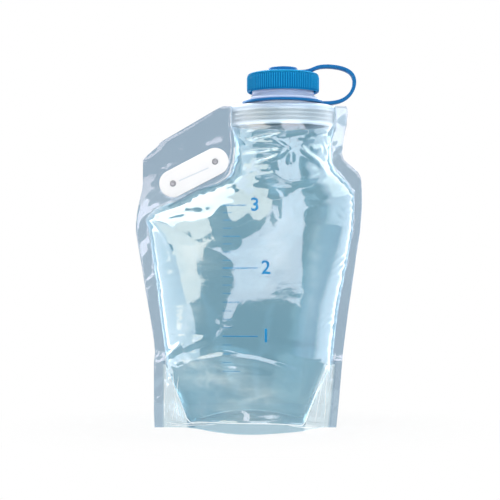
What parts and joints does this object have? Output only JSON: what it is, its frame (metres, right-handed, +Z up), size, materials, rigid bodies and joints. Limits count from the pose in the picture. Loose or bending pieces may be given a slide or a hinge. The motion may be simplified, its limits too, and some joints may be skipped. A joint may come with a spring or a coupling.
{
  "type": "collapsible water carrier",
  "caption": "Collapsible clear film water pouch with a folding base, a riveted grip corner, and an off-centre wide threaded neck closed by a ribbed screw cap on a swivelling tether.",
  "frame": {"origin": "on the floor, under the middle of the pouch's width and depth", "axes": "+Z up along the neck, -Y the front, +X towards the side on which the tether loops out; the grip corner is at -X"},
  "size_m": [0.2146, 0.0996, 0.3435],
  "materials": {
    "clear_film": "clear, glossy, faintly blue film",
    "natural_moulding": "translucent natural moulding",
    "blue_moulding": "satin blue moulding",
    "white_plate": "plain white moulding",
    "rivet_grey": "dull grey"
  },
  "bodies": {
    "carrier": {"front_panel": "clear_film", "rear_panel": "clear_film", "base_gusset": "clear_film", "neck_fitment": "natural_moulding", "grip_plate_front": "white_plate", "grip_plate_rear": "white_plate", "grip_rivet_lower": "rivet_grey", "grip_rivet_upper": "rivet_grey"},
    "tether": {"tether_ring": "blue_moulding", "tether_strap": "blue_moulding"},
    "eye": {"tether_eye": "blue_moulding"},
    "cap": {"screw_cap": "blue_moulding"}
  },
  "joints": [
    {"name": "tether_swivel", "type": "hinge", "parent": "carrier", "child": "tether", "pos_m": [0.0323, 0, 0.3078], "axis": [0, 0, 1], "range_deg": [-25, 25]},
    {"name": "cap_lift", "type": "slide", "parent": "tether", "child": "eye", "axis": [0, 0, 1], "range_m": [0, 0.00526], "deforming": ["tether_strap"]},
    {"name": "cap_turn", "type": "hinge", "parent": "eye", "child": "cap", "pos_m": [0.0323, 0, 0.325], "axis": [0, 0, 1], "range_deg": [0, 450]}
  ],
  "couplings": [
    {"joint": "cap_lift", "follows": "cap_turn", "m_per_rad": 0.00066845}
  ]
}
